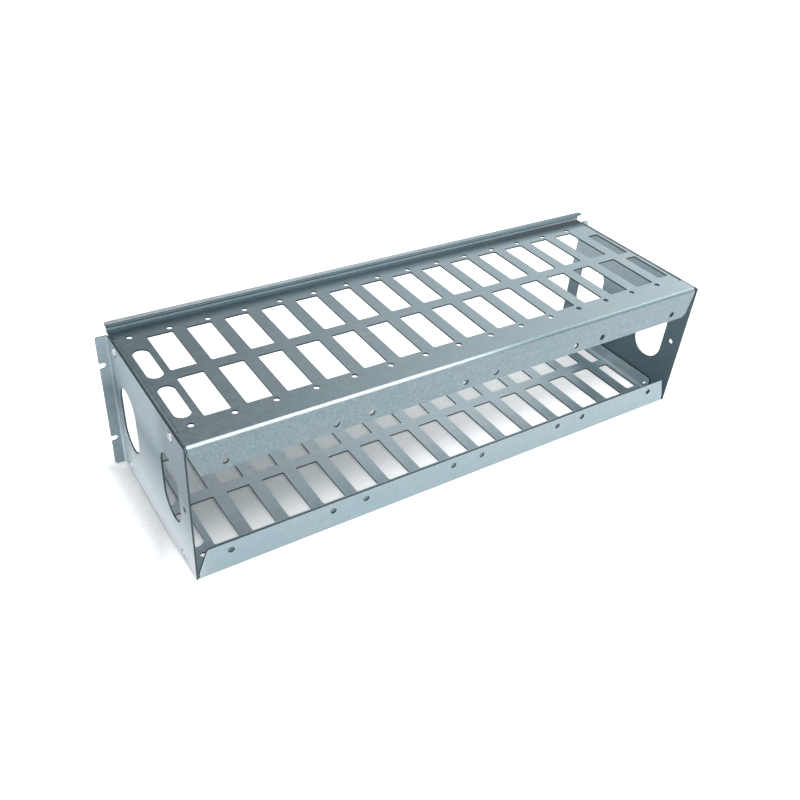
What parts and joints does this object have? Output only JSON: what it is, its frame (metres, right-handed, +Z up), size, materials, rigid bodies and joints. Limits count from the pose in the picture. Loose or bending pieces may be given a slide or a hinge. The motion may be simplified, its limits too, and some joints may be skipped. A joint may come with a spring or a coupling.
{
  "type": "hard drive cage",
  "caption": "Open box of folded galvanised sheet that holds a row of hard drives on edge, with windowed plates, fan flanges in front and fixing ears at the rear.",
  "frame": {"origin": "on the underside, below the middle of the cage, midway between the two rows of drive screws", "axes": "+X along the row of drives to the right seen from the fan side, +Y from the fan side to the rear, +Z up"},
  "size_m": [0.4218, 0.1386, 0.1083],
  "materials": {
    "galvanised_sheet": "galvanised, satin with a fine spangle",
    "rivet": "bright, plain"
  },
  "bodies": {
    "root": {"top_plate": "galvanised_sheet", "bottom_plate": "galvanised_sheet", "left_side_plate": "galvanised_sheet", "right_side_plate": "galvanised_sheet", "rivets": "rivet"}
  },
  "joints": []
}
